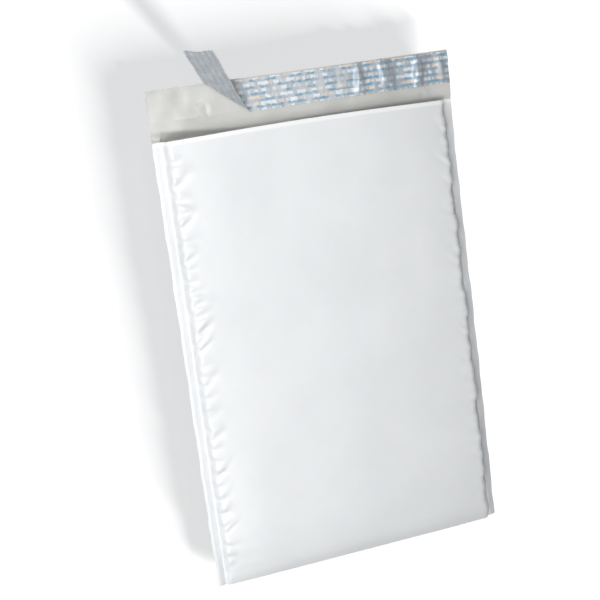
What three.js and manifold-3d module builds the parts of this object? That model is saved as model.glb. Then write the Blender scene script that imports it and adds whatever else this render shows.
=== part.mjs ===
// Padded mailing envelope for goods up to about A5, lying on its back with the flap open.
// Millimetres, +Z up, +Y from the bottom fold towards the flap, +X to the right seen from above.
// The origin is on the flat of the back panel, half way between the bottom fold and the mouth.
import * as THREE from "three";
import { mergeVertices } from "three/addons/utils/BufferGeometryUtils.js";
import Module from "manifold-3d";

// Driving dimensions
const WIDTH = 216; // over both side seals
const LENGTH = 305; // from the bottom fold to the mouth
const FLAP = 34; // from the mouth to the top edge of the flap
const SEAL = 6; // width of a side seal, where front and back are fused
const FILM = 0.3; // outer film
const CUSHION = 4; // one layer of bubble cushioning
const POCKET = 6; // free height inside, at the middle
const GAP = 0.3; // between pieces that touch
const SEAL_HEIGHT = 5; // of the side seals above the surface that the back panel lies on
const SIDE_RISE = 20; // distance over which the panels swell up from a side seal
const FOLD_RISE = 14; // and from the bottom fold
const FLAP_LIFT = 4; // height of the flap's top edge

// Closing strip on the flap, and the release liner that covers it
const STRIP_WIDTH = 21.5;
const STRIP_FROM_MOUTH = 11.5;
const STRIP_THICK = 0.3;
const GLUE_MARGIN = 1; // by which the adhesive stays inside the edges of the liner and the flap
const TAIL_END = -102; // left end of the liner before it was peeled back
const PEEL_X = -34.5; // where the peel line crosses the liner's lower edge
const PEEL_ANGLE = THREE.MathUtils.degToRad(38); // between the peel line and the strip
const PEEL_TURN = THREE.MathUtils.degToRad(111); // how far the tail is folded back
const PEEL_RADIUS = 3;

// Small allowances
const FILM_INSET = 1; // from a side seal to where the two panels part
const CUT_PAST = 1; // by which the space inside runs past the mouth
const LINER_INSET = 2; // from a side seal to the side of the cushioning
const LINER_FOLD_GAP = 2.5; // from the film's bottom fold to the cushioning's
const LINER_SETBACK = 3; // from the mouth to the end of the cushioning
const POCKET_INSET = 7; // from a side seal to the side of the pocket
const POCKET_FOLD_GAP = 2; // from the cushioning's bottom fold to the end of the pocket
const LEAST_POCKET = 0.5; // height of the pocket along its closed edges
const FOLD_START = 1; // puts a little thickness at the bottom fold, where the cushioning turns

// Worked out from them
const HALF_WIDTH = WIDTH / 2;
const MOUTH = LENGTH / 2;
const FOLD = -LENGTH / 2;
const SWELL_EDGE = HALF_WIDTH - SEAL;
const THICKNESS = 2 * (FILM + GAP + CUSHION) + POCKET;
const STRIP_LOW = MOUTH + STRIP_FROM_MOUTH;
const STRIP_LIFT = GAP + STRIP_THICK + GAP; // of the liner above the flap, over the adhesive

// Grid steps
const RIM_STEPS = 8; // across the swell beside a seal
const FOLD_STEPS = 7; // along the swell beside the bottom fold
const PANEL_STEPS = 6; // along the rest of a panel
const FLAP_STEPS = 12; // along the flap
const STRIP_ROWS = 8; // across the closing strip and its liner
const LINER_STEPS = 6; // along the attached part of the liner, up to the swell
const LINER_CLEAR = 8; // from the peel line and from the swell to the nearest of these
const TAIL_STEPS = 22; // along the peeled part of the liner
const PEEL_STEPS = 14; // of these, round the bend
const LEAST_STEP = 0.1; // between two grid lines
const MERGE_WITHIN = 1e-4; // points this close are one point

const wasm = await Module();
wasm.setup();

const clamp01 = (t) => THREE.MathUtils.clamp(t, 0, 1);
const smooth = (t) => THREE.MathUtils.smoothstep(t, 0, 1);

// How far the panels are swollen apart at a point: 0 along the side seals, 1 over the flat middle.
function swell(x, y) {
  const side = clamp01((SWELL_EDGE - Math.abs(x)) / SIDE_RISE);
  const fold = clamp01((y - FOLD + FOLD_START) / FOLD_RISE);
  return Math.sin((side * Math.PI) / 2) * Math.sin((fold * Math.PI) / 2);
}

// Outside of the front panel, and outside of the back panel with the flap that it carries on into.
function frontHeight(x, y) {
  const seal = SEAL_HEIGHT + FILM;
  return seal + (THICKNESS - seal) * swell(x, y);
}
function backHeight(x, y) {
  const back = (SEAL_HEIGHT - FILM) * (1 - swell(x, y));
  return THREE.MathUtils.lerp(back, FLAP_LIFT, smooth((y - MOUTH) / FLAP));
}
// Inner face of the flap, which carries the closing strip.
function flapHeight(x, y) {
  return backHeight(x, y) + FILM;
}

// Evenly spaced numbers from a to b, both included.
function spaced(a, b, steps) {
  return Array.from({ length: steps + 1 }, (_, i) => a + ((b - a) * i) / steps);
}

// Grid lines out to a half width on the right: close together where the panels swell.
function linesRight(half) {
  const rim = spaced(SWELL_EDGE - SIDE_RISE, SWELL_EDGE, RIM_STEPS).filter((x) => x < half - LEAST_STEP);
  return [...rim, half];
}
function linesAcross(half) {
  const right = linesRight(half);
  return [...right.map((x) => -x).reverse(), ...right];
}

// Grid lines along it from one y to another: close together beside the bottom fold.
function linesAlong(from, to) {
  const foldEnd = FOLD + FOLD_RISE;
  const rim = spaced(FOLD, foldEnd, FOLD_STEPS).filter((y) => y > from + LEAST_STEP);
  return [from, ...rim, ...spaced(foldEnd, to, PANEL_STEPS).slice(1)];
}

// A closed solid between two height functions, on the given grid lines.
function slab(xs, ys, top, bottom) {
  const box = new THREE.BoxGeometry(1, 1, 1, xs.length - 1, ys.length - 1, 1);
  const place = box.attributes.position;
  for (let i = 0; i < place.count; i++) {
    const x = xs[Math.round((place.getX(i) + 0.5) * (xs.length - 1))];
    const y = ys[Math.round((place.getY(i) + 0.5) * (ys.length - 1))];
    place.setXYZ(i, x, y, place.getZ(i) > 0 ? top(x, y) : bottom(x, y));
  }
  return box;
}

// A three.js geometry as a manifold-3d solid, and back again.
function toSolid(geometry) {
  const bare = geometry.clone().deleteAttribute("normal").deleteAttribute("uv");
  const merged = mergeVertices(bare, MERGE_WITHIN);
  const vertProperties = merged.attributes.position.array;
  return new wasm.Manifold(
    new wasm.Mesh({ numProp: 3, vertProperties, triVerts: new Uint32Array(merged.index.array) }),
  );
}
function toGeometry(solid) {
  const mesh = solid.getMesh();
  const geometry = new THREE.BufferGeometry();
  geometry.setAttribute("position", new THREE.BufferAttribute(mesh.vertProperties, 3));
  geometry.setIndex(new THREE.BufferAttribute(mesh.triVerts, 1));
  geometry.computeVertexNormals();
  return geometry;
}

// One sheet of film folded at the bottom and fused down both sides, with the flap as its free end.
function outerFilm() {
  const across = linesAcross(HALF_WIDTH);
  const outside = slab(across, linesAlong(FOLD, MOUTH), frontHeight, backHeight);
  const inside = slab(
    linesAcross(SWELL_EDGE - FILM_INSET),
    linesAlong(FOLD + FILM, MOUTH + CUT_PAST),
    (x, y) => frontHeight(x, y) - FILM,
    (x, y) => backHeight(x, Math.min(y, MOUTH)) + FILM,
  );
  const flap = slab(across, spaced(MOUTH, MOUTH + FLAP, FLAP_STEPS), flapHeight, backHeight);
  return toGeometry(toSolid(outside).subtract(toSolid(inside)).add(toSolid(flap)));
}

// One length of bubble cushioning folded with the film: a padded sleeve, open at the mouth.
function bubbleLiner() {
  const skin = FILM + GAP;
  const outside = slab(
    linesAcross(SWELL_EDGE - LINER_INSET),
    linesAlong(FOLD + LINER_FOLD_GAP, MOUTH - LINER_SETBACK),
    (x, y) => frontHeight(x, y) - skin,
    (x, y) => backHeight(x, y) + skin,
  );
  const middle = (x, y) => (frontHeight(x, y) + backHeight(x, y)) / 2;
  const wall = skin + CUSHION;
  const pocket = slab(
    linesAcross(SWELL_EDGE - POCKET_INSET),
    linesAlong(FOLD + LINER_FOLD_GAP + POCKET_FOLD_GAP, MOUTH),
    (x, y) => Math.max(frontHeight(x, y) - wall, middle(x, y) + LEAST_POCKET / 2),
    (x, y) => Math.min(backHeight(x, y) + wall, middle(x, y) - LEAST_POCKET / 2),
  );
  return toGeometry(toSolid(outside).subtract(toSolid(pocket)));
}

// The band of adhesive on the inner face of the flap.
function adhesiveStrip() {
  const face = (x, y) => flapHeight(x, y) + GAP;
  const ys = spaced(STRIP_LOW + GLUE_MARGIN, STRIP_LOW + STRIP_WIDTH - GLUE_MARGIN, STRIP_ROWS);
  return slab(linesAcross(HALF_WIDTH - GLUE_MARGIN), ys, (x, y) => face(x, y) + STRIP_THICK, face);
}

// Where a point of the liner lies. It is given by its place before peeling and its height above
// the flap; past the peel line it is carried round the bend, and back over the attached part.
function peeled(x, y, height) {
  const away = new THREE.Vector2(-Math.sin(PEEL_ANGLE), -Math.cos(PEEL_ANGLE));
  const distance = new THREE.Vector2(x - PEEL_X, y - STRIP_LOW).dot(away);
  const base = flapHeight(x, y) + STRIP_LIFT;
  if (distance <= 0) return new THREE.Vector3(x, y, base + height);
  const turn = Math.min(distance / PEEL_RADIUS, PEEL_TURN);
  const straight = distance - turn * PEEL_RADIUS;
  const radius = PEEL_RADIUS - height;
  const along = radius * Math.sin(turn) + straight * Math.cos(turn);
  const up = PEEL_RADIUS - radius * Math.cos(turn) + straight * Math.sin(turn);
  const start = new THREE.Vector2(x, y).addScaledVector(away, along - distance);
  return new THREE.Vector3(start.x, start.y, base + up);
}

// The release liner: a strip of film, lying on the adhesive and peeled back from its left end.
function releaseLiner() {
  const bend = (PEEL_TURN * PEEL_RADIUS) / Math.sin(PEEL_ANGLE);
  const flat = spaced(PEEL_X + LINER_CLEAR, SWELL_EDGE - SIDE_RISE - LINER_CLEAR, LINER_STEPS);
  const attached = [...flat, ...linesRight(HALF_WIDTH)];
  const steps = TAIL_STEPS + attached.length;
  const strip = new THREE.BoxGeometry(1, 1, 1, steps, STRIP_ROWS, 1);
  const place = strip.attributes.position;
  for (let i = 0; i < place.count; i++) {
    const column = Math.round((place.getX(i) + 0.5) * steps);
    const y = STRIP_LOW + (place.getY(i) + 0.5) * STRIP_WIDTH;
    const peel = PEEL_X - (y - STRIP_LOW) / Math.tan(PEEL_ANGLE);
    const free = TAIL_STEPS - PEEL_STEPS;
    let x = column > TAIL_STEPS ? attached[column - TAIL_STEPS - 1] : peel;
    if (column < TAIL_STEPS) x = peel - (bend * (TAIL_STEPS - column)) / PEEL_STEPS;
    if (column < free) x = THREE.MathUtils.lerp(TAIL_END, peel - bend, column / free);
    const height = place.getZ(i) > 0 ? STRIP_THICK : 0;
    place.setXYZ(i, ...peeled(x, y, height));
  }
  return strip;
}

function piece(name, geometry, colour, roughness) {
  const material = new THREE.MeshStandardMaterial({ color: colour, roughness, metalness: 0 });
  const mesh = new THREE.Mesh(geometry, material);
  mesh.name = name;
  return mesh;
}

const envelope = new THREE.Group();
envelope.add(piece("outer_film", outerFilm(), 0xf2f3f3, 0.3));
envelope.add(piece("bubble_liner", bubbleLiner(), 0xd9dedf, 0.35));
envelope.add(piece("adhesive_strip", adhesiveStrip(), 0xc9c8c0, 0.25));
envelope.add(piece("release_liner", releaseLiner(), 0xa9b4bd, 0.3));

export default envelope;
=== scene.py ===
"""A padded mailing envelope, lying on its back with the flap open and the release liner partly peeled.

Lengths in this script are millimetres unless metres are named, in the frame's own axes: +X to the right,
+Y from the bottom fold to the flap, +Z up from the surface that the envelope lies on. Meshes are written
in metres.
"""

import enum
import logging
import math
from dataclasses import dataclass, field
from typing import Callable, Sequence

import bpy
import numpy as np
from mathutils import Matrix, Vector

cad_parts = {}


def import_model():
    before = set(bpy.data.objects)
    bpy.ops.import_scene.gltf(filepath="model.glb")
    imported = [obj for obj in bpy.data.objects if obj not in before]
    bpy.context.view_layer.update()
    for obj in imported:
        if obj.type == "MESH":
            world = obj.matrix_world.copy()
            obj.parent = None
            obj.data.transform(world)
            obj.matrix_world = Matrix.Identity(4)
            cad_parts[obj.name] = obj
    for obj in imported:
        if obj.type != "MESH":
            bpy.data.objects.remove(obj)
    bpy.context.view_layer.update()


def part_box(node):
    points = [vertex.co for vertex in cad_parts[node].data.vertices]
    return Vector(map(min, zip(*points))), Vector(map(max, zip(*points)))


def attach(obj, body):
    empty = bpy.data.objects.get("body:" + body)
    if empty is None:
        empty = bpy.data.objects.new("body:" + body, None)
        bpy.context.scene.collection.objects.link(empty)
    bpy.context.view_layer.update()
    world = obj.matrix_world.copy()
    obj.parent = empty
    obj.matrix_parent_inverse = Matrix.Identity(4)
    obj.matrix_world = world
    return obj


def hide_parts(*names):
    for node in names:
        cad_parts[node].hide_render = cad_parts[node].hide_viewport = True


LOG = logging.getLogger("envelope")
MM = 0.001

# Edges of a film that are bent by more than this, in degrees, are shaded as sharp.
SHARP_ANGLE = 62.0

Array = np.ndarray
Colour = tuple[float, float, float]
Place = tuple[float, float, float]
Socket = bpy.types.NodeSocket


class Side(enum.Enum):
    """The two sealed sides of the envelope, by the sign of their x."""

    LEFT = -1
    RIGHT = 1


class Panel(enum.Enum):
    """The two faces of the folded film."""

    FRONT = "front"
    BACK = "back"


def smooth(t: Array | float) -> Array | float:
    """Return the smoothstep of t, which is clamped to 0 and 1."""
    t = np.clip(t, 0.0, 1.0)
    return t * t * (3.0 - 2.0 * t)


def spaced(start: float, stop: float, step: float) -> Array:
    """Return evenly spaced numbers from start to stop, no further apart than step."""
    count = max(1, math.ceil(abs(stop - start) / step - 1e-6))
    return np.linspace(start, stop, count + 1)


def waves(t: Array | float, *terms: tuple[float, float, Array | float]) -> Array | float:
    """Return a sum of sine waves at t, each given by its height, its length for one radian and its phase."""
    return sum(height * np.sin(t / length + phase) for height, length, phase in terms)


# --------------------------------------------------------------------------------------------------
# Meshes
# --------------------------------------------------------------------------------------------------


def grid_faces(rows: int, columns: int) -> Array:
    """Return the quads of a grid of points stored row by row, turned anticlockwise in (column, row)."""
    corner = np.arange((rows - 1) * columns).reshape(rows - 1, columns)[:, :-1].ravel()
    return np.stack([corner, corner + 1, corner + columns + 1, corner + columns], axis=1)


def mesh_piece(name: str, points: Array, faces: Array | Sequence[Sequence[int]]) -> bpy.types.Object:
    """Make a smooth-shaded object from points in millimetres.

    Args:
        name: The piece's name.
        points: One row of x, y, z for each point.
        faces: The point numbers of each face.

    Returns:
        The object, linked to the scene and standing at the origin.
    """
    mesh = bpy.data.meshes.new(name)
    vertices = (np.asarray(points, float) * MM).tolist()
    mesh.from_pydata(vertices, [], [list(map(int, face)) for face in faces])
    mesh.shade_smooth()
    mesh.update()
    piece = bpy.data.objects.new(name, mesh)
    bpy.context.scene.collection.objects.link(piece)
    return piece


def grid_piece(name: str, points: Array, uv: Array | None = None) -> bpy.types.Object:
    """Make a sheet from a grid of points.

    Args:
        name: The piece's name.
        points: Millimetres, shaped (rows, columns, 3).
        uv: The pattern's coordinates at each point, shaped (rows, columns, 2).

    Returns:
        The sheet, with no thickness yet.
    """
    rows, columns = points.shape[:2]
    faces = grid_faces(rows, columns)
    piece = mesh_piece(name, points.reshape(-1, 3), faces)
    if uv is not None:
        layer = piece.data.uv_layers.new(name="Lay")
        layer.data.foreach_set("uv", uv.reshape(-1, 2)[faces.ravel()].astype(np.float32).ravel())
    return piece


def thicken(piece: bpy.types.Object, thickness: float, second_face: bool) -> None:
    """Turn a sheet into a closed film.

    Args:
        piece: The sheet, whose normals point to its first face.
        thickness: Millimetres.
        second_face: True if the other face has the piece's second material.
    """
    for each in bpy.context.selected_objects:
        each.select_set(False)
    bpy.context.view_layer.objects.active = piece
    piece.select_set(True)
    solid = piece.modifiers.new("Thickness", "SOLIDIFY")
    solid.thickness = thickness * MM
    solid.offset = 0.0
    solid.material_offset = 1 if second_face else 0
    bpy.ops.object.modifier_apply(modifier=solid.name)
    piece.data.set_sharp_from_angle(angle=math.radians(SHARP_ANGLE))
    piece.select_set(False)


# --------------------------------------------------------------------------------------------------
# Finishes
# --------------------------------------------------------------------------------------------------


class Nodes:
    """A material's node tree, with short ways to add to it."""

    def __init__(self, name: str) -> None:
        """Start a material that has one Principled shader.

        Args:
            name: The material's name.
        """
        self.material = bpy.data.materials.new(name)
        self.material.use_nodes = True
        self.tree = self.material.node_tree
        self.shader = self.tree.nodes["Principled BSDF"]

    def add(self, kind: str, **settings: object) -> bpy.types.Node:
        """Add a node.

        Args:
            kind: Its type, without the ShaderNode that all of them start with.
            settings: Properties to set on it.

        Returns:
            The node.
        """
        node = self.tree.nodes.new("ShaderNode" + kind)
        for key, value in settings.items():
            setattr(node, key, value)
        return node

    def join(self, source: Socket, target: Socket) -> None:
        """Link one socket to another."""
        self.tree.links.new(source, target)

    def place(self, scale: Place = (1.0, 1.0, 1.0), turn: float = 0.0) -> Socket:
        """Return the object's own coordinates, scaled and turned.

        Args:
            scale: Along X, Y and Z.
            turn: About Z, in degrees.

        Returns:
            The coordinates, in metres before they are scaled.
        """
        mapping = self.add("Mapping")
        mapping.inputs["Scale"].default_value = scale
        mapping.inputs["Rotation"].default_value[2] = math.radians(turn)
        self.join(self.add("TexCoord").outputs["Object"], mapping.inputs["Vector"])
        return mapping.outputs["Vector"]

    def lay(self) -> Socket:
        """Return the coordinates that follow the piece along and across, in millimetres."""
        return self.add("UVMap", uv_map="Lay").outputs["UV"]

    def noise(self, vector: Socket, scale: float, detail: float = 2.0) -> Socket:
        """Return a noise.

        Args:
            vector: Where it is sampled.
            scale: How fine it is.
            detail: How many finer layers it has.

        Returns:
            The noise, from 0 to 1.
        """
        noise = self.add("TexNoise")
        noise.inputs["Scale"].default_value = scale
        noise.inputs["Detail"].default_value = detail
        self.join(vector, noise.inputs["Vector"])
        return noise.outputs["Fac"]

    def maths(self, operation: str, *values: object) -> Socket:
        """Return the result of a sum on numbers or sockets.

        Args:
            operation: What a Math node does with them.
            values: Each a number or a socket.

        Returns:
            The result.
        """
        node = self.add("Math", operation=operation)
        for socket, value in zip(node.inputs, values):
            if isinstance(value, Socket):
                self.join(value, socket)
            else:
                socket.default_value = value
        return node.outputs["Value"]

    def between(self, value: Socket, low: float, high: float, start: float = 0.0, end: float = 1.0) -> Socket:
        """Carry a value from one range onto another, and clamp it there.

        Args:
            value: The value.
            low: Where the first range begins.
            high: Where it ends.
            start: The result at low.
            end: The result at high.

        Returns:
            The result.
        """
        node = self.add("MapRange")
        for socket, number in zip(list(node.inputs)[1:5], (low, high, start, end)):
            socket.default_value = number
        self.join(value, node.inputs["Value"])
        return node.outputs["Result"]

    def blend(self, share: Socket, first: object, second: object) -> Socket:
        """Return the mix of two colours.

        Args:
            share: How much of the second one there is, from 0 to 1.
            first: A colour or a socket.
            second: A colour or a socket.

        Returns:
            The mixed colour.
        """
        node = self.add("Mix", data_type="RGBA")
        self.join(share, node.inputs["Factor"])
        for socket, colour in zip((node.inputs[6], node.inputs[7]), (first, second)):
            if isinstance(colour, Socket):
                self.join(colour, socket)
            else:
                socket.default_value = (*colour, 1.0)
        return node.outputs[2]

    def relief(self, height: Socket, depth: float, under: bpy.types.Node | None = None) -> bpy.types.Node:
        """Add a bump and give it to the shader.

        Args:
            height: How high the relief is, as a share of its depth.
            depth: In millimetres.
            under: A bump that it lies on.

        Returns:
            The bump's node.
        """
        bump = self.add("Bump")
        bump.inputs["Strength"].default_value = 1.0
        bump.inputs["Distance"].default_value = depth * MM
        self.join(height, bump.inputs["Height"])
        if under is not None:
            self.join(under.outputs["Normal"], bump.inputs["Normal"])
        self.join(bump.outputs["Normal"], self.shader.inputs["Normal"])
        return bump

    def colour(self, source: Socket) -> None:
        """Give the shader its colour."""
        self.join(source, self.shader.inputs["Base Color"])

    def roughness(self, source: Socket) -> None:
        """Give the shader its roughness."""
        self.join(source, self.shader.inputs["Roughness"])


@dataclass(frozen=True)
class FilmFinish:
    """Polyethylene film: slightly cloudy, finely crinkled, with faint marks of the bubbles behind it.

    Attributes:
        name: The material's name.
        light: Colour of most of the film.
        dark: Colour of its cloudier parts.
        rough: Least and greatest roughness.
        crinkle: Depth of the fine crinkles, in millimetres.
        bubbles: Depth of the marks of the bubbles, in millimetres.
        metal: How metallic the face is.
        coat: Weight of the glossy skin.
        rim: Width of a paler line along the mouth, in millimetres: a painted highlight on its rim.
        rim_highlight_colour: Colour of that painted highlight.
    """

    name: str
    light: Colour
    dark: Colour
    rough: tuple[float, float]
    crinkle: float
    bubbles: float = 0.0
    metal: float = 0.0
    coat: float = 0.0
    rim: float = 0.0
    rim_highlight_colour: Colour = (0.95, 0.96, 0.96)

    def build(self) -> bpy.types.Material:
        """Make the material.

        Returns:
            The material.
        """
        nodes = Nodes(self.name)
        shader = nodes.shader.inputs
        shader["Metallic"].default_value = self.metal
        shader["Coat Weight"].default_value = self.coat
        shader["Coat Roughness"].default_value = 0.12
        shader["IOR"].default_value = 1.5
        place = nodes.place()
        cloud = nodes.noise(place, 22.0, 4.0)
        film = nodes.blend(nodes.between(cloud, 0.35, 0.68), self.light, self.dark)
        # Painted highlight: a paler line along the mouth stands in for the light that the front panel's rim
        # catches.
        if self.rim:
            split = nodes.add("SeparateXYZ")
            nodes.join(nodes.lay(), split.inputs["Vector"])
            painted_rim_highlight = nodes.between(split.outputs["Y"], self.rim, 1.6 * self.rim, 1.0, 0.0)
            film = nodes.blend(painted_rim_highlight, film, self.rim_highlight_colour)
        nodes.colour(film)
        nodes.roughness(nodes.between(nodes.noise(place, 60.0, 3.0), 0.3, 0.7, *self.rough))
        swell = nodes.relief(nodes.noise(nodes.place((1.0, 0.6, 1.0)), 45.0, 3.0), self.crinkle)
        fine = nodes.relief(nodes.noise(nodes.place(turn=35.0), 320.0), self.crinkle * 0.12, swell)
        if self.bubbles:
            nodes.relief(self.bubble_marks(nodes), self.bubbles, fine)
        return nodes.material

    @staticmethod
    def bubble_marks(nodes: Nodes) -> Socket:
        """Make the marks of the bubbles: three waves at 60 degrees make the staggered rows.

        Args:
            nodes: The material.

        Returns:
            A height that peaks over each bubble.
        """
        waves = []
        for turn in (0.0, 60.0, 120.0):
            split = nodes.add("SeparateXYZ")
            nodes.join(nodes.place(turn=turn), split.inputs["Vector"])
            turns = nodes.maths("MULTIPLY", split.outputs["Y"], 2.0 * math.pi / (BUBBLE_ROW * MM))
            waves.append(nodes.maths("COSINE", turns))
        return nodes.maths("ADD", nodes.maths("ADD", waves[0], waves[1]), waves[2])


@dataclass(frozen=True)
class CushionFinish:
    """The thin clear film that bubbles are made from."""

    name: str = "bubble_film"
    colour: Colour = (0.80, 0.83, 0.85)

    def build(self) -> bpy.types.Material:
        """Make the material.

        Returns:
            The material.
        """
        nodes = Nodes(self.name)
        shader = nodes.shader.inputs
        shader["Transmission Weight"].default_value = 0.35
        shader["IOR"].default_value = 1.2
        shader["Coat Weight"].default_value = 0.5
        shader["Coat Roughness"].default_value = 0.1
        place = nodes.place()
        cloud = nodes.noise(place, 120.0, 3.0)
        darker = tuple(0.86 * c for c in self.colour)
        nodes.colour(nodes.blend(nodes.between(cloud, 0.3, 0.7), self.colour, darker))
        nodes.roughness(nodes.between(cloud, 0.3, 0.7, 0.12, 0.3))
        nodes.relief(nodes.noise(place, 400.0, 2.0), 0.15)
        return nodes.material


@dataclass(frozen=True)
class AdhesiveFinish:
    """A clear, tacky coat: glossy, with the faint streaks of the roller that laid it."""

    name: str = "adhesive"
    light: Colour = (0.69, 0.69, 0.66)
    dark: Colour = (0.64, 0.64, 0.61)

    def build(self) -> bpy.types.Material:
        """Make the material.

        Returns:
            The material.
        """
        nodes = Nodes(self.name)
        nodes.shader.inputs["Metallic"].default_value = 0.15
        nodes.shader.inputs["Coat Weight"].default_value = 0.12
        nodes.shader.inputs["Coat Roughness"].default_value = 0.3
        streaks = nodes.noise(nodes.place((0.12, 1.0, 1.0)), 300.0, 3.0)
        blotches = nodes.noise(nodes.place(), 70.0, 4.0)
        nodes.colour(nodes.blend(nodes.between(blotches, 0.35, 0.7), self.light, self.dark))
        nodes.roughness(nodes.between(streaks, 0.3, 0.7, 0.42, 0.56))
        nodes.relief(streaks, 0.10, nodes.relief(blotches, 0.25))
        return nodes.material


@dataclass(frozen=True)
class LinerFinish:
    """Thin release film, printed on one face with rows of short broken bars.

    Attributes:
        name: The material's name.
        base: Colour of the film.
        shade: Colour of its greyer stretches; a darker tone of it is painted as shade beside the creases.
        ink: Colour of the bars.
        pale_ink: Colour of the bars where they are worn.
        warm: Colour of a few pale warm patches between the bars, partly print and partly painted glints.
        bright: Colour of the lightest patches, partly print and partly painted glints.
        rows: Number of rows of bars across the strip.
        strength: How strongly the bars show, which is less on the back.
        bar_pace: How quickly the bars break up along the strip, for each millimetre.
        patch_pace: The same of the patches between them.
    """

    name: str
    base: Colour
    shade: Colour
    ink: Colour
    pale_ink: Colour
    warm: Colour
    bright: Colour
    rows: int
    strength: float
    bar_pace: float = 0.12
    patch_pace: float = 0.19

    def build(self) -> bpy.types.Material:
        """Make the material.

        Returns:
            The material.
        """
        nodes = Nodes(self.name)
        shader = nodes.shader.inputs
        shader["Coat Weight"].default_value = 0.2
        shader["Coat Roughness"].default_value = 0.25
        shader["Metallic"].default_value = 0.1
        lay = nodes.lay()
        split = nodes.add("SeparateXYZ")
        nodes.join(lay, split.inputs["Vector"])
        along = split.outputs["X"]
        worn = nodes.noise(self.stretched(nodes, lay, 0.35, 0.5), 1.0, 3.0)
        wander = nodes.maths("MULTIPLY", nodes.maths("SUBTRACT", worn, 0.5), 0.7)
        row = nodes.maths("ADD", nodes.maths("MULTIPLY", split.outputs["Y"], self.rows / STRIP_WIDTH), wander)
        from_line = nodes.maths("ABSOLUTE", nodes.maths("SUBTRACT", nodes.maths("FRACT", row), 0.5))
        lines = nodes.between(from_line, 0.10, 0.24, 1.0, 0.0)
        gaps = nodes.between(from_line, 0.20, 0.32)
        broken = nodes.between(self.cells(nodes, along, row, 0.5, self.bar_pace), 0.42, 0.52)
        bars = nodes.maths("MULTIPLY", nodes.maths("MULTIPLY", lines, broken), self.strength)
        # The pale patches between the bars are partly print and partly painted glints on the crinkled film.
        patches = self.cells(nodes, along, row, 0.0, self.patch_pace)
        warm = nodes.maths("MULTIPLY", gaps, nodes.between(patches, 0.54, 0.62, 0.0, self.strength))
        bright = nodes.maths("MULTIPLY", gaps, nodes.between(patches, 0.50, 0.42, 0.0, self.strength))
        haze = nodes.noise(self.stretched(nodes, lay, 0.05, 0.02), 3.0, 3.0)
        film = nodes.blend(nodes.between(haze, 0.42, 0.80), self.base, self.shade)
        film = nodes.blend(nodes.between(along, 25.0, 70.0, 0.0, 0.55), film, self.shade)
        film = nodes.blend(warm, film, self.warm)
        film = nodes.blend(bright, film, self.bright)
        inks = nodes.blend(nodes.between(worn, 0.40, 0.62), self.ink, self.pale_ink)
        printed = nodes.blend(bars, film, inks)
        # Painted shade: dark bands across the strip, deeper towards its right end, stand in for the shade
        # beside its creases.
        crease_shade_bands = nodes.between(nodes.noise(self.stretched(nodes, lay, 0.13, 0.02), 1.0), 0.50, 0.62)
        painted_crease_shade = nodes.maths("MULTIPLY", crease_shade_bands, nodes.between(along, 20.0, 50.0, 0.0, 0.65))
        nodes.colour(nodes.blend(painted_crease_shade, printed, tuple(0.7 * c for c in self.shade)))
        nodes.roughness(nodes.between(haze, 0.3, 0.7, 0.34, 0.5))
        creases = nodes.noise(self.stretched(nodes, lay, 0.22, 0.02), 2.0, 3.0)
        nodes.relief(creases, 0.25)
        return nodes.material

    @staticmethod
    def cells(nodes: Nodes, along: Socket, row: Socket, shift: float, pace: float) -> Socket:
        """Return a noise that varies along the strip and is different in every row.

        Args:
            nodes: The material.
            along: Distance along the strip, in millimetres.
            row: Distance across it, in rows.
            shift: How far the rows of cells are shifted, in rows.
            pace: How quickly the noise varies along the strip, for each millimetre.

        Returns:
            The noise.
        """
        cell = nodes.add("CombineXYZ")
        nodes.join(nodes.maths("MULTIPLY", along, pace), cell.inputs["X"])
        step = nodes.maths("FLOOR", nodes.maths("ADD", row, 0.5 - shift))
        nodes.join(nodes.maths("MULTIPLY", step, 7.3), cell.inputs["Y"])
        return nodes.noise(cell.outputs["Vector"], 1.0, 1.0)

    @staticmethod
    def stretched(nodes: Nodes, lay: Socket, along: float, across: float) -> Socket:
        """Scale the strip's coordinates by different amounts along and across it.

        Args:
            nodes: The material.
            lay: The coordinates.
            along: The amount along the strip.
            across: The amount across it.

        Returns:
            The scaled coordinates.
        """
        mapping = nodes.add("Mapping")
        mapping.inputs["Scale"].default_value = (along, across, 1.0)
        nodes.join(lay, mapping.inputs["Vector"])
        return mapping.outputs["Vector"]


# --------------------------------------------------------------------------------------------------
# Shape of the envelope
# --------------------------------------------------------------------------------------------------

# The width of a side seal, the thickness of the outer film, the width of the closing strip, and the distance
# between the bubbles of one row and between two rows.
SEAL = 6.0
FILM = 0.22
STRIP_WIDTH = 21.5
BUBBLE_PITCH = 11.5
BUBBLE_ROW = BUBBLE_PITCH * math.sqrt(3.0) / 2.0

# The dents in the flap: x, distance past the mouth, half the width, and depth.
DENTS = ((-69.0, 17.0, 2.2, 0.35), (86.0, 5.0, 2.0, 0.5), (-85.0, 26.0, 4.0, 0.2))


@dataclass(frozen=True)
class Pucker:
    """A crow's foot in the film, running in from a side seal.

    Attributes:
        seat: Its y at the seal.
        lean: How far it shifts in y for each millimetre it runs in.
        start: Distance from the seal at which it starts.
        reach: Distance from the seal at which it has faded out.
        width: Half its width at the start.
        height: Its greatest height.
    """

    seat: float
    lean: float
    start: float
    reach: float
    width: float
    height: float

    def lift(self, inward: Array, y: Array) -> Array:
        """Find how far it lifts the film.

        Args:
            inward: Distance from the seal, for each point.
            y: Of each point.

        Returns:
            The lift of each point.
        """
        run = np.clip((inward - self.start) / (self.reach - self.start), 0.0, 1.0)
        rise = smooth(run / 0.18) * (1.0 - smooth((run - 0.25) / 0.75))
        off = (y - self.seat - self.lean * inward) / (self.width * (1.0 + 0.4 * run))
        crest = np.exp(-np.abs(off) ** 1.2)
        groove = np.exp(-(np.abs((off + 1.7) / 0.75) ** 1.4))
        return self.height * rise * (crest - 0.9 * groove)


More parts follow.
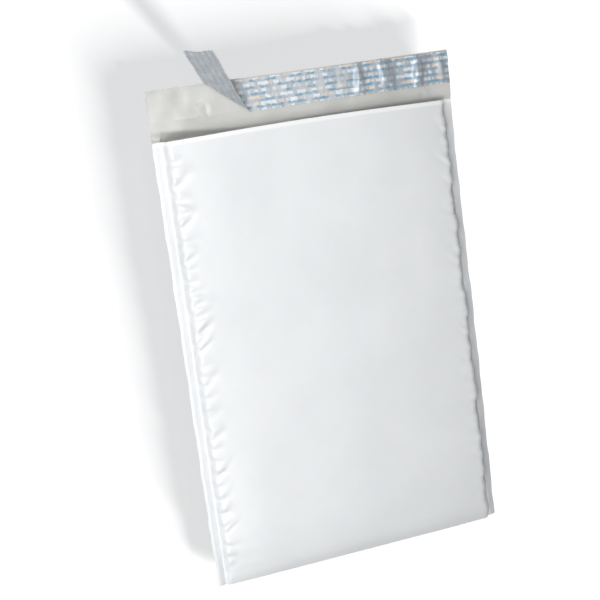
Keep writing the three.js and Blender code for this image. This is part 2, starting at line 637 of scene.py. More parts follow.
@dataclass
class Surface:
    """The heights of the envelope's film, which every piece follows.

    Attributes:
        half_width: From the middle to the outer edge of a side seal.
        fold: y of the bottom fold.
        mouth: y of the mouth.
        top: y of the flap's top edge.
        thickness: From the surface that it lies on to the front panel.
        seal_height: Of the side seals over that surface.
        seal_rise: How far the left seal curls up on its way out.
        seal_tip: How far its outer edge turns down again.
        seal_droop: How far the right seal's outer edge droops at the bottom fold.
        seal_ease: How much less it droops at the mouth.
        seal_groove: Depth of the line pressed along the inner edge of both.
        back_rise: How far the back panel rises towards the mouth.
        flap_edge: Height of the flap past its bend.
        seed: Of the random numbers that the puckers are drawn with.
        first_pucker: Distance of a side's first pucker from the bottom fold.
        last_pucker: Least distance of its last one from the mouth.
        pucker_step: Least and greatest distance between two puckers.
        puckers: Those of each side of each panel.
    """

    half_width: float
    fold: float
    mouth: float
    top: float
    thickness: float
    seal_height: float = 5.0
    seal_rise: float = 1.2
    seal_tip: float = 0.8
    seal_droop: float = 2.7
    seal_ease: float = 1.5
    seal_groove: float = 0.8
    back_rise: float = 3.6
    flap_edge: float = 5.5
    seed: int = 26
    first_pucker: float = 16.0
    last_pucker: float = 6.0
    pucker_step: tuple[float, float] = (5.0, 9.5)
    puckers: dict[tuple[Panel, Side], list[Pucker]] = field(default_factory=dict)

    def __post_init__(self) -> None:
        """Draw the puckers: many and strong on the left, few and low on the right."""
        draw = np.random.default_rng(self.seed)
        strengths = {Side.LEFT: 1.0, Side.RIGHT: 0.45}
        for panel in Panel:
            for side in Side:
                self.puckers[panel, side] = self.draw_puckers(draw, strengths[side])

    def draw_puckers(self, draw: np.random.Generator, strength: float) -> list[Pucker]:
        """Return the puckers of one side of one panel.

        Args:
            draw: Source of the seeded random numbers.
            strength: Their height, as a share of the stronger side's.

        Returns:
            The puckers, from the bottom fold to the mouth.
        """
        made: list[Pucker] = []
        y = self.fold + self.first_pucker
        while y < self.mouth - self.last_pucker:
            share = self.towards_mouth(y)
            size = strength * (0.6 + 0.7 * share)
            made.append(
                Pucker(
                    seat=y,
                    lean=draw.uniform(-0.25, 0.85),
                    start=draw.uniform(0.3, 2.0),
                    reach=draw.uniform(10.0, 17.0) + 9.0 * share * draw.uniform(0.0, 1.0) ** 2,
                    width=draw.uniform(1.3, 2.5),
                    height=size * draw.uniform(0.8, 1.5),
                )
            )
            y += draw.uniform(*self.pucker_step)
        return made

    def towards_mouth(self, y: Array | float) -> Array | float:
        """Return how far y is from the bottom fold to the mouth, as a share."""
        return (y - self.fold) / (self.mouth - self.fold)

    def inward(self, x: Array) -> Array:
        """Return the distance from the inner edge of the nearer side seal, 0 on the seal itself."""
        return np.maximum(self.half_width - SEAL - np.abs(x), 0.0)

    def seal_line(self, x: Array, y: Array) -> Array:
        """Find the height of the plane of the seals: the left one curls up, and the right one droops.

        Args:
            x: Of each point.
            y: Of each point.

        Returns:
            The height of each point.
        """
        outward = np.clip((np.abs(x) - (self.half_width - SEAL)) / SEAL, 0.0, 1.0)
        curl = self.seal_tip * smooth((outward - 0.74) / 0.26) - self.seal_rise * smooth(outward / 0.74)
        curl = curl * (1.0 - smooth((y - self.mouth + 4.0) / 4.0))
        fall = (self.seal_droop - self.seal_ease * self.towards_mouth(y)) * outward**1.1
        fall = fall * (1.0 - smooth((y - self.mouth + 9.0) / 9.0))
        droop = np.where(x < 0.0, curl, fall)
        left = waves(y, (0.35, 31.0, 0.6), (0.20, 11.3, 0.0), (0.12, 5.1, 1.0))
        right = waves(y, (0.45, 37.0, 2.1), (0.16, 9.7, 0.4))
        near = smooth((np.abs(x) - 60.0) / 40.0)
        pressed = self.seal_groove * np.exp(-(((np.abs(x) - self.half_width + SEAL + 0.4) / 1.0) ** 2))
        return self.seal_height - droop - pressed + near * np.where(x < 0.0, left, right)

    def swell(self, x: Array, y: Array) -> Array:
        """Find how far the panels stand apart.

        Args:
            x: Of each point.
            y: Of each point.

        Returns:
            The share of each point, from 0 at the seals to 1 over the middle.
        """
        inward = self.inward(x)
        left = waves(y, (0.9, 1.6, 0.9 * np.sin(y / 13.0)), (0.6, 4.1, 2.0))
        right = waves(y, (0.9, 8.3, 1.0), (0.6, 4.9, 0.0), (0.8, 2.4, 1.5 * np.sin(y / 17.0)))
        edge = np.maximum(inward + 0.6 * np.where(x < 0.0, left, right) * smooth(inward / 2.0), 0.0)
        wall = np.where(x < 0.0, 1.8, 3.0)
        share = np.where(x < 0.0, 0.50 + 0.32 * self.towards_mouth(y), 0.78)
        crown = np.sin(np.clip(edge / 38.0, 0.0, 1.0) * np.pi / 2)
        side = share * (1.0 - np.exp(-((edge / wall) ** 2.0))) + (1.0 - share) * crown
        up = np.maximum(y - self.fold, 0.0)
        turned = 0.26 + 0.30 * (1.0 - np.exp(-((up / 5.0) ** 1.2)))
        return side * (turned + 0.44 * np.sin(np.clip(up / 40.0, 0, 1) * np.pi / 2))

    def undulation(self, x: Array, y: Array) -> Array:
        """Find the broad, shallow waves of the front panel.

        Args:
            x: Of each point.
            y: Of each point.

        Returns:
            The height of each point.
        """
        slow = 0.30 * np.sin(x / 27.0 + y / 53.0 + 0.8) * np.cos(y / 41.0 - x / 71.0)
        quick = 0.10 * np.sin(x / 11.0 - y / 17.0) * np.cos(y / 14.0 + x / 23.0 + 1.7)
        return slow + quick

    def puckered(self, panel: Panel, x: Array, y: Array) -> Array:
        """Find the lift of all the puckers of a panel.

        Args:
            panel: The panel.
            x: Of each point.
            y: Of each point.

        Returns:
            The lift of each point.
        """
        lift = np.zeros_like(x)
        for side in Side:
            here = np.sign(x) == side.value
            distance = self.inward(x)
            total = sum(p.lift(distance, y) for p in self.puckers[panel, side])
            lift = lift + np.where(here & (distance > 0.0), total, 0.0)
        return lift

    def front(self, x: Array, y: Array) -> Array:
        """Find the height of the front panel's film.

        Args:
            x: Of each point.
            y: Of each point.

        Returns:
            The height of each point.
        """
        swell = self.swell(x, y)
        rise = self.thickness - self.seal_height - FILM
        rim = 1.0 - 0.05 * np.clip(1.0 - (self.mouth - y) / 3.5, 0.0, 1.0) ** 2
        lift = self.puckered(Panel.FRONT, x, y) + self.undulation(x, y) * swell
        return self.seal_line(x, y) + 0.5 * FILM + rise * swell * rim + lift * smooth((y - self.fold) / 10.0)

    def back(self, x: Array, y: Array) -> Array:
        """Find the height of the back panel's film, which lies flat wherever it touches down.

        Args:
            x: Of each point.
            y: Of each point.

        Returns:
            The height of each point.
        """
        seal = self.seal_line(x, y) - 0.5 * FILM
        down = np.clip(1.45 * self.swell(x, y), 0.0, 1.0)
        rise = self.back_rise * smooth((y - self.mouth + 26.0) / 26.0) * smooth((x + 101.0) / 75.0)
        lying = 0.5 * FILM + rise
        lift = 0.5 * self.puckered(Panel.BACK, x, y) * smooth((y - self.fold) / 10.0)
        return np.maximum(lying + (seal - lying) * (1.0 - down) ** 1.3 - lift * (1.0 - down), 0.5 * FILM)

    def flap(self, x: Array, y: Array) -> Array:
        """Find the height of the flap, which carries on from the back panel.

        Args:
            x: Of each point.
            y: Of each point.

        Returns:
            The height of each point.
        """
        past = np.maximum(y - self.mouth, 0.0)
        run = np.clip(past / (self.top - self.mouth), 0.0, 1.0)
        edge = self.flap_edge + 0.8 * x / self.half_width + 0.4 * np.sin(x / 19.0 + 0.5)
        lobe = ((x + 88.0) / 22.0) ** 2
        edge = edge + 1.0 * np.exp(-lobe - ((past - 8.0 - 0.06 * (x + 88.0)) / 4.5) ** 2)
        bend = 6.8 - 4.2 * smooth((x + 106.0) / 60.0)
        lifted = np.clip(past / bend, 0.0, 1.0) ** 1.15
        start = self.back(x, np.full_like(x, self.mouth))
        low = np.minimum(start, 1.2 + 2.6 * smooth((x + 104.0) / 78.0))
        start = start + (low - start) * smooth(past / 2.4)
        height = start * (1.0 - lifted) + edge * lifted
        wrinkle = 0.16 * np.sin(x / 5.3 + y / 9.0) + 0.12 * np.sin(x / 2.9 - y / 6.1 + 1.0)
        below = smooth((self.mouth + 12.0 - y) / 6.0) * smooth((x + 40.0) / 20.0)
        wrinkle = wrinkle + below * (0.8 * np.sin(x / 7.1 + 0.7) + 0.6 * np.sin(x / 3.7 - y / 4.0))
        left_end = smooth((-x - 55.0) / 40.0)
        curl = 0.6 * smooth((-x - 98.0) / 10.0) * run
        dents = sum(self.dent(x, at_x, y, self.mouth + up, *shape) for at_x, up, *shape in DENTS)
        return height + smooth(run * 3.0) * (wrinkle * (0.35 + left_end) + curl + dents)

    @staticmethod
    def dent(x: Array, at_x: float, y: Array, at_y: float, width: float, depth: float) -> Array:
        """Make a small dent with a raised lip, as left by a fingertip.

        Args:
            x: Of each point.
            at_x: Its middle.
            y: Of each point.
            at_y: Its middle.
            width: Half its width.
            depth: Its depth.

        Returns:
            The height of each point.
        """
        across = (x - at_x) / width
        along = (y - at_y) / (width * 1.5)
        away = across**2 + along**2
        return -depth * np.exp(-away) + 0.6 * depth * np.exp(-((np.sqrt(away) - 1.6) ** 2) * 3.0)


# --------------------------------------------------------------------------------------------------
# Pieces
# --------------------------------------------------------------------------------------------------


@dataclass
class OuterFilm:
    """The folded film: front panel, bottom fold, back panel and flap in one sheet.

    Attributes:
        surface: The envelope.
        rim_bow: How far the front panel's rim bows towards the flap in the middle.
        fold_steps: Number of rows round the bottom fold.
        front_step: Distance between the rows of the front panel.
        back_step: The same on the back panel.
        flap_step: The same on the flap.
    """

    surface: Surface
    rim_bow: float = 1.8
    fold_steps: int = 8
    front_step: float = 1.25
    back_step: float = 1.6
    flap_step: float = 1.2

    def columns(self) -> Array:
        """Place the grid's columns, close together at the seals and puckers.

        Returns:
            Their x, from left to right.
        """
        edge = self.surface.half_width
        inner = edge - SEAL
        bands = [(0.0, 76.0, 4.0), (76.0, 88.0, 1.5), (88.0, inner - 3.0, 0.9), (inner - 3.0, edge, 0.5)]
        right = np.unique(np.concatenate([spaced(a, b, step) for a, b, step in bands]).round(6))
        return np.concatenate([-right[:0:-1], right])

    def build(self) -> bpy.types.Object:
        """Make the film, closed and with both its finishes.

        Returns:
            The film.
        """
        s = self.surface
        x = self.columns()
        front_y = spaced(s.mouth, s.fold, self.front_step)[:-1]
        back_y = spaced(s.fold, s.mouth, self.back_step)[1:]
        flap_y = spaced(s.mouth, s.top, self.flap_step)[1:]
        rows = [self.front_row(x, y) for y in front_y]
        rows += self.fold_rows(x)
        rows += [self.lay(x, y, s.back) for y in back_y]
        rows += [self.lay(x, y, s.flap) for y in flap_y]
        points = np.stack(rows[::-1])
        steps = np.linalg.norm(np.diff(points[::-1, len(x) // 2], axis=0), axis=1)
        run = np.concatenate([[0.0], np.cumsum(steps)])
        along = np.broadcast_to(run[::-1, None], points.shape[:2])
        lay = np.stack([np.broadcast_to(x, along.shape), along], axis=-1)
        piece = grid_piece("film_envelope", points, lay)
        piece.data.materials.append(WHITE_FACE.build())
        piece.data.materials.append(GREY_FACE.build())
        thicken(piece, FILM, second_face=True)
        return piece

    @staticmethod
    def lay(x: Array, y: float, height: Callable[[Array, Array], Array]) -> Array:
        """Make one row of points across the envelope, whose outer edges waver a little.

        Args:
            x: Of the columns.
            y: Of the row.
            height: Gives the height at x and y.

        Returns:
            The points.
        """
        along = np.full_like(x, y)
        outward = np.clip((np.abs(x) - 103.0) / 5.0, 0.0, 1.0)
        wobble = 0.22 * math.sin(y / 6.7) + 0.14 * math.sin(y / 2.9 + 1.3) - 0.2
        return np.stack([x + np.sign(x) * outward * wobble, along, height(x, along)], axis=1)

    def front_row(self, x: Array, y: float) -> Array:
        """Make a row of the front panel.

        Args:
            x: Of the columns.
            y: Of the row.

        Returns:
            The points.
        """
        s = self.surface
        row = self.lay(x, y, s.front)
        share = s.towards_mouth(y) ** 8
        row[:, 1] += self.rim_bow * share * np.cos(np.pi * x / (2.0 * s.half_width))
        return row

    def fold_rows(self, x: Array) -> list[Array]:
        """Make the rows that carry the film round the bottom fold.

        Args:
            x: Of the columns.

        Returns:
            The rows, from the front to the back.
        """
        s = self.surface
        along = np.full_like(x, s.fold)
        high, low = s.front(x, along), s.back(x, along)
        middle, half = (high + low) / 2.0, (high - low) / 2.0
        rows = []
        for turn in np.linspace(math.pi / 2, -math.pi / 2, self.fold_steps + 1):
            bulge = np.minimum(half, 1.0) * math.cos(turn)
            rows.append(np.stack([x, along - bulge, middle + half * math.sin(turn)], axis=1))
        return rows


@dataclass
class BubbleLiner:
    """The cushioning: a flat web towards the pocket, and a bubble on it at every place of a staggered grid.

    Attributes:
        surface: The envelope.
        height: Of a bubble that has all the room it needs.
        radius: Of a bubble.
        set_back: How far its edge lies inside the mouth.
        web: Thickness of the web.
        clearance: Between the bubbles and the film.
        least: A bubble with less height than this is left out.
        sides: Of a bubble, which is a many-sided dome.
        columns: Greatest number of bubbles on either side of the middle one.
    """

    surface: Surface
    height: float = 4.0
    radius: float = 4.9
    set_back: float = 3.0
    web: float = 0.12
    clearance: float = 0.35
    least: float = 1.0
    sides: int = 10
    columns: int = 10

    def depth(self, x: Array, y: Array) -> Array:
        """Find how far a web stands off the film: a bubble's height, or less where the panels come together.

        Args:
            x: Of each point.
            y: Of each point.

        Returns:
            The depth at each point.
        """
        s = self.surface
        room = (s.front(x, y) - s.back(x, y)) / 2.0 - self.clearance - 0.4
        return np.clip(room, 0.0, self.height)

    def room(self, panel: Panel, x: Array, y: Array) -> Array:
        """Find how tall bubbles can be when they stay under the film over all their width.

        Args:
            panel: The panel that they line.
            x: Of each bubble.
            y: Of each bubble.

        Returns:
            The greatest height of each bubble.
        """
        s = self.surface
        web = self.web_height(panel, x, y)
        heights = [np.full_like(x, self.height)]
        for turn in np.linspace(0.0, 2.0 * math.pi, 9):
            near = (x + 0.8 * self.radius * math.cos(turn), y + 0.8 * self.radius * math.sin(turn))
            gap = s.front(*near) - web if panel is Panel.FRONT else web - s.back(*near)
            heights.append(gap - 0.8 * self.clearance)
        return np.min(heights, axis=0)

    def web_height(self, panel: Panel, x: Array, y: Array) -> Array:
        """Find the height of a panel's flat web.

        Args:
            panel: The panel.
            x: Of each point.
            y: Of each point.

        Returns:
            The height of each point.
        """
        s = self.surface
        if panel is Panel.FRONT:
            return s.front(x, y) - self.clearance - self.depth(x, y)
        return s.back(x, y) + self.clearance + self.depth(x, y)

    def build(self) -> bpy.types.Object:
        """Make the cushioning of both panels, joined round the bottom fold.

        Returns:
            The cushioning.
        """
        points, faces = self.webs()
        x, y = np.array(self.places()).T
        for panel in Panel:
            for place in zip(x, y, self.web_height(panel, x, y), self.room(panel, x, y)):
                if place[-1] < self.least:
                    continue
                more, more_faces = self.bubble(panel, *map(float, place))
                faces += [[i + len(points) for i in face] for face in more_faces]
                points += more
        piece = mesh_piece("bubble_cushioning", np.array(points), faces)
        piece.data.materials.append(CUSHION_FILM.build())
        return piece

    def places(self) -> list[tuple[float, float]]:
        """Place the bubbles of one panel, clear of the seals, the mouth and the fold.

        Returns:
            The x and y of each one's middle.
        """
        s = self.surface
        reach = s.half_width - SEAL - self.radius
        last = s.mouth - self.set_back - self.radius
        found = []
        for row in range(int((last - s.fold - 8.0) / BUBBLE_ROW) + 1):
            y = last - row * BUBBLE_ROW
            shift = BUBBLE_PITCH / 2.0 if row % 2 else 0.0
            for column in range(-self.columns, self.columns + 1):
                x = column * BUBBLE_PITCH + shift
                if abs(x) < reach:
                    found.append((x, y))
        return found

    def bubble(self, panel: Panel, x: float, y: float, floor: float, tall: float) -> tuple[list, list]:
        """Make one bubble: a flattened dome standing on its web.

        Args:
            panel: The panel that it lines, which it faces.
            x: Its middle.
            y: Its middle.
            floor: Height of its web.
            tall: How far it stands out from that.

        Returns:
            The points, and the faces that point outwards.
        """
        way = 1.0 if panel is Panel.FRONT else -1.0
        rings = [(1.0, 0.0), (0.97, 0.45), (0.82, 0.82), (0.5, 0.97)]
        points = []
        for width, share in rings:
            for i in range(self.sides):
                turn = 2.0 * math.pi * i / self.sides
                across = self.radius * width
                rim = (x + across * math.cos(turn), y + across * math.sin(turn))
                points.append([*rim, floor + way * tall * share])
        points += [[x, y, floor + way * tall], [x, y, floor]]
        top, base, n = len(points) - 2, len(points) - 1, self.sides
        faces = []
        for i in range(n):
            j = (i + 1) % n
            for ring in range(len(rings) - 1):
                faces.append([ring * n + i, ring * n + j, (ring + 1) * n + j, (ring + 1) * n + i])
            last = (len(rings) - 1) * n
            faces.append([last + i, last + j, top])
            faces.append([j, i, base])
        if way < 0.0:
            faces = [face[::-1] for face in faces]
        return points, faces

    def webs(self) -> tuple[list[list[float]], list[list[int]]]:
        """Make the flat webs of both panels as one thin closed sheet, folded at the bottom.

        Returns:
            The points, and the faces that point outwards.
        """
        s = self.surface
        edge = s.half_width - SEAL - 1.2
        left, right = spaced(-edge, -80.0, 2.0)[:-1], spaced(80.0, edge, 2.0)[1:]
        x = np.concatenate([left, spaced(-80.0, 80.0, 8.0), right])
        low = s.fold + 3.0
        body = spaced(s.mouth - self.set_back, low + 20.0, 8.0)
        y_down = np.concatenate([body, spaced(low + 20.0, low, 2.0)[1:]])
        grid = []
        for panel, places in ((Panel.FRONT, y_down), (Panel.BACK, y_down[::-1])):
            for y in places:
                along = np.full_like(x, y)
                grid.append(np.stack([x, along, self.web_height(panel, x, along)], axis=1))
        sheet = grid_piece("web_draft", np.stack(grid[::-1]))
        thicken(sheet, self.web, second_face=False)
        points = [[c / MM for c in v.co] for v in sheet.data.vertices]
        faces = [list(p.vertices) for p in sheet.data.polygons]
        draft = sheet.data
        bpy.data.objects.remove(sheet)
        bpy.data.meshes.remove(draft)
        return points, faces


@dataclass
class AdhesiveStrip:
    """The band of adhesive on the inner face of the flap.

    Attributes:
        surface: The envelope.
        low: y of the lower edge of the liner that covers it.
        margin: How far it keeps inside the liner's lower and upper edges.
        side_margin: How far it keeps inside the flap's sides.
        coat: Its thickness.
        sunk: How far it lies in the face of the flap.
    """

    surface: Surface
    low: float
    margin: float = 1.0
    side_margin: float = 1.3
    coat: float = 0.12
    sunk: float = 0.04

    def build(self) -> bpy.types.Object:
        """Make the band, whose edges slope down into the flap.

        Returns:
            The band.
        """
        s = self.surface
        x = spaced(-s.half_width + self.side_margin, s.half_width - self.side_margin, 1.5)
        rows = []
        for y in spaced(self.low + self.margin, self.low + STRIP_WIDTH - self.margin, 1.3):
            along = np.full_like(x, y)
            ragged = 0.35 * np.sin(x / 3.1 + y) * (1.0 if y < self.low + 2.0 else 0.0)
            height = s.flap(x, along) + (FILM + self.coat) / 2.0 - self.sunk
            if abs(y - self.low - STRIP_WIDTH / 2.0) > STRIP_WIDTH / 2.0 - self.margin - 0.1:
                height -= self.coat
            height[[0, -1]] -= self.coat
            rows.append(np.stack([x, along + ragged, height], axis=1))
        piece = grid_piece("adhesive_band", np.stack(rows))
        piece.data.materials.append(ADHESIVE.build())
        thicken(piece, self.coat, second_face=False)
        return piece


@dataclass
class ReleaseLiner:
    """The liner over the adhesive, peeled from its left end and folded back over itself.

    Attributes:
        surface: The envelope.
        low: y of its lower edge.
        peel_x: Where the peel line crosses that edge.
        peel_angle: Between the peel line and the strip, in degrees.
        peel_turn: How far the tail is folded back, in degrees.
        radius: Of the bend.
        tail_end: x of its left end before it was peeled.
        film: Its thickness.
        lift: Of its lower face over the flap's.
        edge_gap: How far its right end keeps inside the flap's side.
        columns: Number of points along it.
        creases: For each crease across the attached part, its x at the lower edge, its lean, half its width
            and its height.
    """

    surface: Surface
    low: float
    peel_x: float = -34.5
    peel_angle: float = 38.0
    peel_turn: float = 111.0
    radius: float = 3.0
    tail_end: float = -102.0
    film: float = 0.16
    lift: float = 0.25
    edge_gap: float = 0.4
    columns: int = 261
    creases: tuple[tuple[float, float, float, float], ...] = (
        (-8.0, 0.30, 1.5, 0.4),
        (12.0, 0.20, 1.6, 0.4),
        (29.0, -0.15, 1.5, 0.5),
        (38.5, 0.08, 1.9, 3.0),
        (50.0, 0.25, 1.4, 0.5),
        (59.0, -0.12, 1.5, 2.2),
        (71.0, 0.30, 1.6, 0.5),
        (82.0, 0.10, 2.1, 3.4),
        (102.0, -0.06, 1.8, 1.2),
    )

    def kinks(self, x: Array, y: Array) -> Array:
        """Find the lift of the creases that run across the attached part.

        Args:
            x: Of each point.
            y: Of each point.

        Returns:
            The lift of each point.
        """
        total = (0.08 + 0.06 * smooth((x - 30.0) / 20.0)) * np.sin(x / 1.9 + y / 5.0) * np.sin(x / 13.0)
        for at, lean, width, height in self.creases:
            off = x - at - lean * (y - self.low)
            off = off / np.where(off < 0.0, width, 2.2 * width)
            middle = self.low + STRIP_WIDTH * (0.42 + 0.14 * math.sin(at))
            span = 0.15 + 0.85 * np.exp(-(((y - middle) / 7.5) ** 2))
            total = total + height * span * np.exp(-np.abs(off) ** 1.6)
        return np.maximum(total, -0.05)

    def peeled(self, x: Array, y: Array) -> Array:
        """Find where points of the liner lie, given by their places before peeling.

        Args:
            x: Millimetres, before peeling.
            y: Millimetres, before peeling.

        Returns:
            Points, shaped as x with a last axis of 3.
        """
        angle, turn = math.radians(self.peel_angle), math.radians(self.peel_turn)
        away = np.array([-math.sin(angle), -math.cos(angle)])
        distance = (x - self.peel_x) * away[0] + (y - self.low) * away[1]
        bend = np.clip(distance / self.radius, 0.0, turn)
        straight = np.maximum(distance - bend * self.radius, 0.0)
        curl = 0.0035 * straight**2
        over = self.radius * np.sin(bend) + straight * np.cos(turn) - curl * np.sin(turn) * 0.4
        up = self.radius * (1.0 - np.cos(bend)) + straight * np.sin(turn) - curl * 0.1
        over = np.where(distance > 0.0, over, distance)
        up = np.where(distance > 0.0, up, 0.0)
        base = self.surface.flap(x, y) + FILM / 2.0 + self.lift + self.film / 2.0
        attached = smooth(-distance / 4.0)
        height = base + up + self.kinks(x, y) * attached
        shift = over - distance
        ripple = 0.5 * np.sin((x + 0.6 * y) / 3.3) * smooth(straight / 12.0)
        across = x + away[0] * shift + ripple * 0.4
        return np.stack([across, y + away[1] * shift, height + ripple * 0.3], axis=-1)

    def build(self) -> bpy.types.Object:
        """Make the liner, with its printed and its plain face.

        Returns:
            The liner.
        """
        s = self.surface
        high = self.low + STRIP_WIDTH
        ys = spaced(self.low, high, 1.1)
        share = np.linspace(0.0, 1.0, self.columns)
        rows, lays = [], []
        for y in ys:
            ragged = 0.7 * math.sin(y * 0.33) + 0.25 * math.sin(y * 1.9 + 1.0)
            x = (self.tail_end + ragged) + (s.half_width - self.edge_gap - self.tail_end - ragged) * share
            wander = 0.15 * np.sin(x / 21.0) * (1.0 if y < self.low + 0.5 or y > high - 0.5 else 0.0)
            rows.append(self.peeled(x, y + wander))
            lays.append(np.stack([x, np.full_like(x, y - self.low)], axis=1))
        piece = grid_piece("release_strip", np.stack(rows), np.stack(lays))
        piece.data.materials.append(PRINTED_FACE.build())
        piece.data.materials.append(PLAIN_FACE.build())
        thicken(piece, self.film, second_face=True)
        return piece


WHITE_FACE = FilmFinish(
    name="white_face",
    light=(0.84, 0.855, 0.865),
    dark=(0.80, 0.815, 0.825),
    rough=(0.30, 0.40),
    crinkle=0.10,
    bubbles=0.012,
    coat=0.15,
    rim=2.2,
)
GREY_FACE = FilmFinish(
    name="grey_face",
    light=(0.68, 0.68, 0.65),
    dark=(0.60, 0.60, 0.57),
    rough=(0.48, 0.60),
    crinkle=0.48,
    metal=0.15,
)
CUSHION_FILM = CushionFinish()
ADHESIVE = AdhesiveFinish()
PRINTED_FACE = LinerFinish(
    name="printed_face",
    base=(0.62, 0.66, 0.69),
    shade=(0.33, 0.38, 0.44),
    ink=(0.15, 0.35, 0.49),
    pale_ink=(0.32, 0.50, 0.66),
    warm=(0.84, 0.72, 0.60),
    bright=(0.88, 0.92, 0.95),
    rows=5,
    strength=0.85,
)
PLAIN_FACE = LinerFinish(
    name="plain_face",
    base=(0.46, 0.49, 0.52),
    shade=(0.36, 0.39, 0.42),
    ink=(0.25, 0.30, 0.36),
    pale_ink=(0.34, 0.38, 0.44),
    warm=(0.50, 0.50, 0.50),
    bright=(0.56, 0.59, 0.62),
    rows=5,
    strength=0.5,
)


# --------------------------------------------------------------------------------------------------
# Stage
# --------------------------------------------------------------------------------------------------


@dataclass(frozen=True)
class Viewpoint:
    """Where the camera looks from: round, above and away from a target, and turned about its own axis.

    Attributes:
        target: What it looks at.
        distance: From there.
        heading: The way it looks, from +Y towards +X, in degrees.
        elevation: How far it looks down, in degrees.
        roll: How far it is turned about the way it looks, in degrees.
        lens: Its focal length.
    """

    target: Place = (-23.3, 33.8, 10.0)
    distance: float = 940.5
    heading: float = 119.9
    elevation: float = 68.76
    roll: float = 110.6
    lens: float = 83.15

    def build(self) -> None:
        """Make the camera and give it to the scene."""
        heading, elevation = math.radians(self.heading), math.radians(self.elevation)
        flat = Vector((math.sin(heading), math.cos(heading), 0.0))
        forward = flat * math.cos(elevation) - Vector((0.0, 0.0, math.sin(elevation)))
        level = forward.cross(Vector((0.0, 0.0, 1.0))).normalized()
        right = Matrix.Rotation(-math.radians(self.roll), 3, forward) @ level
        up = right.cross(forward)
        data = bpy.data.cameras.new("camera")
        data.lens = self.lens
        camera = bpy.data.objects.new("camera", data)
        turned = Matrix((right, up, -forward)).transposed().to_4x4()
        place = (Vector(self.target) - forward * self.distance) * MM
        camera.matrix_world = Matrix.Translation(place) @ turned
        bpy.context.scene.collection.objects.link(camera)
        bpy.context.scene.camera = camera


def aim(data: bpy.types.Light, source: Place, lit: bpy.types.Collection) -> bpy.types.Object:
    """Make a light's object, turned so that it shines from a source towards the envelope.

    Args:
        data: The light.
        source: The way to it, or its place.
        lit: The only objects that it falls on.

    Returns:
        The object, which stands at the origin.
    """
    light = bpy.data.objects.new(data.name, data)
    light.rotation_euler = (-Vector(source)).to_track_quat("-Z", "Y").to_euler()
    light.light_linking.receiver_collection = lit
    bpy.context.scene.collection.objects.link(light)
    return light


@dataclass(frozen=True)
class Softbox:
    """A rectangular area light that points at the envelope.

    Attributes:
        name: The light's name.
        place: Its middle, in metres.
        size: Its width and height, in metres.
        power: In watts.
    """

    name: str
    place: Place
    size: tuple[float, float]
    power: float

    def build(self, lit: bpy.types.Collection) -> None:
        """Make the light.

        Args:
            lit: The only objects that it falls on.
        """
        data = bpy.data.lights.new(self.name, "AREA")
        data.shape, data.energy = "RECTANGLE", self.power
        data.size, data.size_y = self.size
        aim(data, self.place, lit).location = self.place


SOFTBOXES = (
    Softbox("key_light", (-0.42, 0.12, 0.68), (0.9, 0.35), 6.35),
    Softbox("fill_light", (-0.5, -0.75, 1.35), (1.0, 1.0), 3.1),
)


@dataclass(frozen=True)
class LowSun:
    """The low, very soft light that gives the envelope its shadow on the floor.

    Attributes:
        source: The way to it.
        strength: How bright it is.
        angle: How wide it looks, in degrees.
    """

    source: Place = (1.2, -1.82, 0.345)
    strength: float = 8.0
    angle: float = 9.5

    def build(self, lit: bpy.types.Collection) -> None:
        """Make the light.

        Args:
            lit: The only objects that it falls on.
        """
        data = bpy.data.lights.new("low_light", "SUN")
        data.energy, data.angle = self.strength, math.radians(self.angle)
        aim(data, self.source, lit)


@dataclass(frozen=True)
class Surroundings:
    """Pale surroundings that light the envelope less than they show.

    Attributes:
        colour: Their colour.
        light: How strongly they light everything.
        seen: How bright they look.
    """

    colour: Colour = (0.95, 0.97, 1.0)
    light: float = 0.22
    seen: float = 1.0

    def build(self) -> None:
        """Make the world and give it to the scene."""
        world = bpy.data.worlds.new("surroundings")
        world.use_nodes = True
        tree = world.node_tree
        background = tree.nodes["Background"]
        background.inputs["Color"].default_value = (*self.colour, 1.0)
        strength = tree.nodes.new("ShaderNodeMapRange")
        strength.inputs["To Min"].default_value = self.light
        strength.inputs["To Max"].default_value = self.seen
        path = tree.nodes.new("ShaderNodeLightPath")
        tree.links.new(path.outputs["Is Camera Ray"], strength.inputs["Value"])
        tree.links.new(strength.outputs["Result"], background.inputs["Strength"])
        bpy.context.scene.world = world


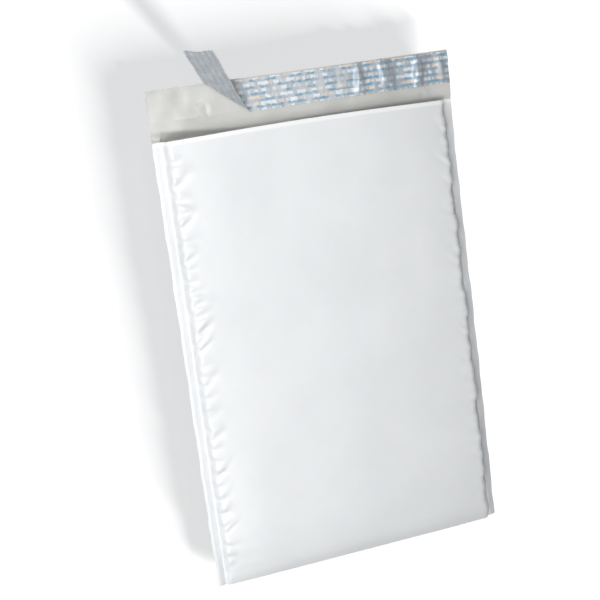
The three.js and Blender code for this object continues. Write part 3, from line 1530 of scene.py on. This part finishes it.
@dataclass(frozen=True)
class Floor:
    """A wide pale floor that glows a little, and that throws no light on the pieces.

    Attributes:
        side: Its width and depth, in metres.
        light: The paler of its two tints.
        dark: The other one.
        glow: Strength of its own light.
    """

    side: float = 60.0
    light: Colour = (0.95, 0.95, 0.95)
    dark: Colour = (0.93, 0.93, 0.94)
    glow: float = 0.53

    def build(self) -> bpy.types.Object:
        """Make the floor.

        Returns:
            The floor.
        """
        bpy.ops.mesh.primitive_plane_add(size=self.side, location=(0.0, 0.0, 0.0))
        floor = bpy.context.active_object
        floor.name = "floor"
        floor.visible_diffuse = False
        nodes = Nodes("pale_floor")
        shader = nodes.shader.inputs
        shader["Roughness"].default_value = 0.9
        shader["Specular IOR Level"].default_value = 0.1
        nodes.colour(nodes.blend(nodes.noise(nodes.place(), 3.0, 1.0), self.dark, self.light))
        shader["Emission Color"].default_value = (1.0, 1.0, 1.0, 1.0)
        shader["Emission Strength"].default_value = self.glow
        floor.data.materials.append(nodes.material)
        return floor


def collection_of(name: str, objects: Sequence[bpy.types.Object]) -> bpy.types.Collection:
    """Gather objects in a collection that stands outside the scene.

    Args:
        name: The collection's name.
        objects: What goes in it.

    Returns:
        The collection.
    """
    made = bpy.data.collections.new(name)
    for each in objects:
        made.objects.link(each)
    return made


def build_stage(pieces: Sequence[bpy.types.Object]) -> None:
    """Make the floor, the lights and the pale surroundings.

    Args:
        pieces: Every piece of the envelope.
    """
    floor = Floor().build()
    lit_pieces = collection_of("lit_pieces", pieces)
    for softbox in SOFTBOXES:
        softbox.build(lit_pieces)
    LowSun().build(collection_of("lit_floor", [floor]))
    Surroundings().build()
    bpy.context.scene.view_settings.view_transform = "Standard"


def main() -> None:
    """Load the frame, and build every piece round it."""
    logging.basicConfig(level=logging.INFO, format="%(name)s: %(message)s")
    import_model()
    low, high = (np.array(c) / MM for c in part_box("outer_film"))
    strip_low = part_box("release_liner")[0][1] / MM
    # The body is centred on the origin, so that its mouth is as far from there as its fold.
    mouth = -low[1]
    surface = Surface(half_width=high[0], fold=low[1], mouth=mouth, top=high[1], thickness=high[2])

    film = OuterFilm(surface).build()
    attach(film, "root")
    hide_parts("outer_film")

    cushion = BubbleLiner(surface).build()
    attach(cushion, "root")
    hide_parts("bubble_liner")

    adhesive = AdhesiveStrip(surface, strip_low).build()
    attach(adhesive, "root")
    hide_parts("adhesive_strip")

    liner = ReleaseLiner(surface, strip_low).build()
    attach(liner, "root")
    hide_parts("release_liner")

    pieces = (film, cushion, adhesive, liner)
    for piece in pieces:
        LOG.info("%s has %d faces", piece.name, len(piece.data.polygons))
    build_stage(pieces)
    Viewpoint().build()


if __name__ == "__main__":
    main()
